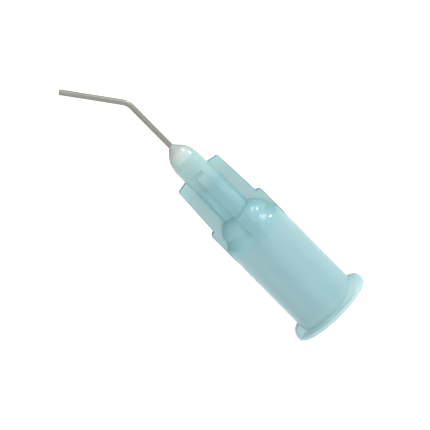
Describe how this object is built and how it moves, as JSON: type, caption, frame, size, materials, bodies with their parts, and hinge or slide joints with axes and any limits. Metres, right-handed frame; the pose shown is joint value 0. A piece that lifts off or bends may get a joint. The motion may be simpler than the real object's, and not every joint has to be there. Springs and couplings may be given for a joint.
{
  "type": "dispensing needle tip",
  "caption": "Bent stainless dispensing needle bonded into a finned translucent luer-lock hub, for metering adhesive, flux or solder paste from a syringe.",
  "frame": {"origin": "centre of the luer socket's mouth, in the plane of the hub's base", "axes": "+Z along the luer axis from the mouth to the nose; the cannula's tip bends towards -X, in the XZ plane; +Y completes a right-handed frame"},
  "size_m": [0.0078, 0.0078, 0.0308],
  "materials": {
    "hub_plastic": "moulded translucent polypropylene, pale aqua, semi-gloss",
    "cannula_steel": "drawn stainless tube, cut square",
    "adhesive": "cured clear adhesive, slightly milky"
  },
  "bodies": {
    "root": {"hub": "hub_plastic", "cannula": "cannula_steel", "adhesive_bead": "adhesive"}
  },
  "joints": []
}
